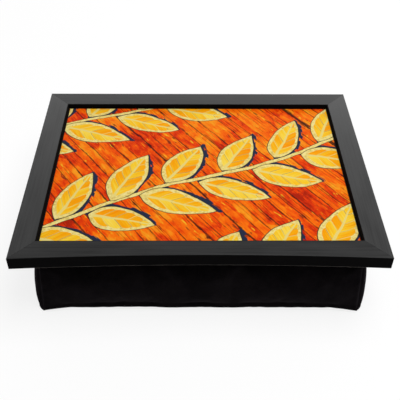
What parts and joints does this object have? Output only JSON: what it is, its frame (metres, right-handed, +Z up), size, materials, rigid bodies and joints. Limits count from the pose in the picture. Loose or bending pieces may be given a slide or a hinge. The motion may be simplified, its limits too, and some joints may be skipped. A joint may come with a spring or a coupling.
{
  "type": "cushioned lap tray",
  "caption": "Breakfast tray with a mitred frame and a recessed printed panel, on a bead-filled fabric cushion that detaches for lap use.",
  "frame": {"origin": "on the floor, under the middle of the tray", "axes": "+X along the tray's length to the right, +Y from the front rail to the back rail, +Z up"},
  "size_m": [0.43, 0.33, 0.1],
  "materials": {
    "black_foil": "fibreboard moulding wrapped in satin black foil with a fine lengthwise grain",
    "steel": "bare strip",
    "board_black": "matt black fibreboard",
    "print_orange": "satin laminate with a painterly orange print",
    "hook_nylon": "black hook tape",
    "loop_nylon": "black loop tape",
    "velvet": "short black pile, mottled",
    "bag_white": "plain white lining"
  },
  "bodies": {
    "cushion": {"cover_top": "velvet", "cover_bottom": "velvet", "cover_front": "velvet", "cover_back": "velvet", "cover_left": "velvet", "cover_right": "velvet", "bead_bag": "bag_white", "loop_tape_front": "loop_nylon", "loop_tape_right": "loop_nylon", "loop_tape_back": "loop_nylon", "loop_tape_left": "loop_nylon"},
    "tray": {"rail_front": "black_foil", "rail_right": "black_foil", "rail_back": "black_foil", "rail_left": "black_foil", "v_nail_back_right_1": "steel", "v_nail_back_right_2": "steel", "v_nail_back_left_1": "steel", "v_nail_back_left_2": "steel", "v_nail_front_left_1": "steel", "v_nail_front_left_2": "steel", "v_nail_front_right_1": "steel", "v_nail_front_right_2": "steel", "board_point_front_1": "steel", "board_point_front_2": "steel", "board_point_front_3": "steel", "board_point_right_1": "steel", "board_point_right_2": "steel", "board_point_back_1": "steel", "board_point_back_2": "steel", "board_point_back_3": "steel", "board_point_left_1": "steel", "board_point_left_2": "steel", "tray_board": "board_black", "print_sheet": "print_orange", "hook_tape_front": "hook_nylon", "hook_tape_right": "hook_nylon", "hook_tape_back": "hook_nylon", "hook_tape_left": "hook_nylon"}
  },
  "joints": [
    {"name": "tray_lift", "type": "slide", "parent": "cushion", "child": "tray", "axis": [0, 0, 1], "range_m": [0, 0.12]}
  ]
}
